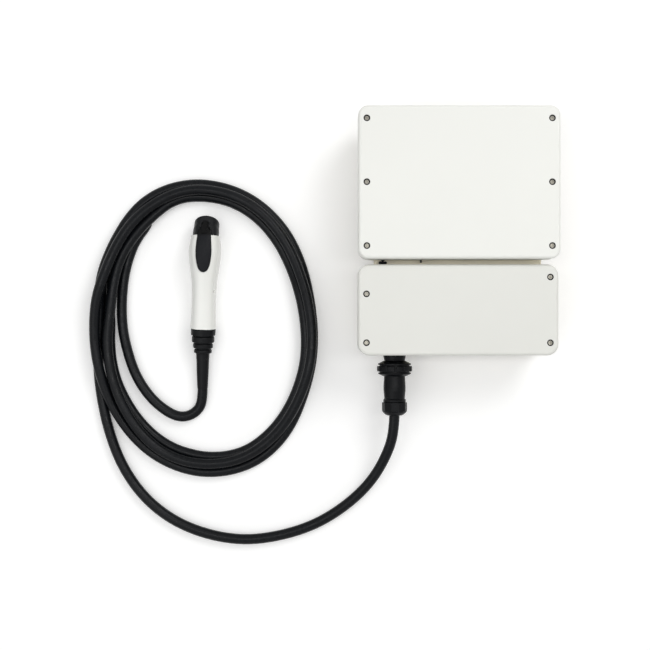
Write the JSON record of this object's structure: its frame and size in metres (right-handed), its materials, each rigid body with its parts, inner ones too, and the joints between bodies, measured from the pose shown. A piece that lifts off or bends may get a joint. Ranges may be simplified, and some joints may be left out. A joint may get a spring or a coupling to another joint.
{
  "type": "ev charger",
  "caption": "Wall unit in two stacked enclosures with a tethered cable in an oval coil, a screw-in cable plug under the lower box and a hand-held vehicle coupler with a thumb latch.",
  "frame": {"origin": "the middle of the unit's footprint on the wall plane, from the top edge of the upper cover to the end of the outlet spigot under the lower box, cable and coupler left out", "axes": "+X across the front of the unit, +Y up the wall, +Z out of the covers; z = 0 is the wall, which is also the surface that the cable and the coupler lie on"},
  "size_m": [0.8915, 0.8327, 0.174],
  "materials": {
    "cover_white": "fine matt",
    "cover_grey": "fine matt",
    "cast_grey": "powder coat",
    "steel": "zinc",
    "seal_black": "matt",
    "black_plastic": "satin",
    "handle_white": "gloss",
    "board_green": "satin",
    "contact_brass": "bright",
    "terminal_grey": "satin",
    "winding": "enamel",
    "light_pipe": "clear"
  },
  "bodies": {
    "unit": {"ac_terminals": "terminal_grey", "board_standoffs": "steel", "bracket_lock_screws": "steel", "bus_capacitors": "steel", "cable_clamp": "black_plastic", "cable_coil": "seal_black", "cable_lead": "seal_black", "cable_tail": "seal_black", "charging_board": "board_green", "conduit_plugs": "black_plastic", "contact_carrier": "black_plastic", "contact_insert": "black_plastic", "contact_pins": "contact_brass", "contact_sleeves": "contact_brass", "contactor": "black_plastic", "control_board": "board_green", "control_posts": "black_plastic", "current_sensor": "black_plastic", "dc_terminals": "terminal_grey", "din_rail": "steel", "filter_inductors": "winding", "gland_nut": "black_plastic", "gland_seal": "seal_black", "ground_bar": "contact_brass", "handle_screws": "steel", "handle_shell_left": "handle_white", "handle_shell_right": "handle_white", "hanger_pins": "steel", "latch_pin": "steel", "latch_spring": "steel", "latch_switch": "black_plastic", "link_duct": "cast_grey", "link_gaskets": "seal_black", "lower_chassis": "cast_grey", "lower_cover": "cover_grey", "lower_cover_screws": "steel", "lower_gasket": "seal_black", "nose_seal": "seal_black", "nose_shell": "black_plastic", "outlet_flange": "black_plastic", "outlet_lock_nut": "black_plastic", "output_relays": "black_plastic", "plug_body": "black_plastic", "plug_insert": "black_plastic", "plug_seal": "seal_black", "power_board": "board_green", "power_modules": "black_plastic", "status_light": "light_pipe", "strain_boot": "seal_black", "switch_bezel": "black_plastic", "transformer": "winding", "upper_chassis": "cast_grey", "upper_cover": "cover_white", "upper_cover_screws": "steel", "upper_gasket": "seal_black", "wall_bracket": "steel"},
    "mode_switch": {"mode_switch": "black_plastic"},
    "coupling_ring": {"coupling_ring": "black_plastic"},
    "latch_lever": {"latch_lever": "black_plastic"}
  },
  "joints": [
    {"name": "mode_switch_tilt", "type": "hinge", "parent": "unit", "child": "mode_switch", "pos_m": [-0.1375, -0.03385, 0.112], "axis": [0, 0, 1], "range_deg": [-12, 12]},
    {"name": "coupling_ring_turn", "type": "hinge", "parent": "unit", "child": "coupling_ring", "pos_m": [-0.113, -0.24175, 0.07], "axis": [0, 1, 0], "range_deg": [0, 45]},
    {"name": "latch_press", "type": "hinge", "parent": "unit", "child": "latch_lever", "pos_m": [-0.47816, -0.00963, 0.064], "axis": [0.9995, -0.0323, 0], "range_deg": [0, 5], "stiffness_Nm_per_rad": 2, "springref_deg": -2.86, "deforming": ["latch_spring"]}
  ]
}
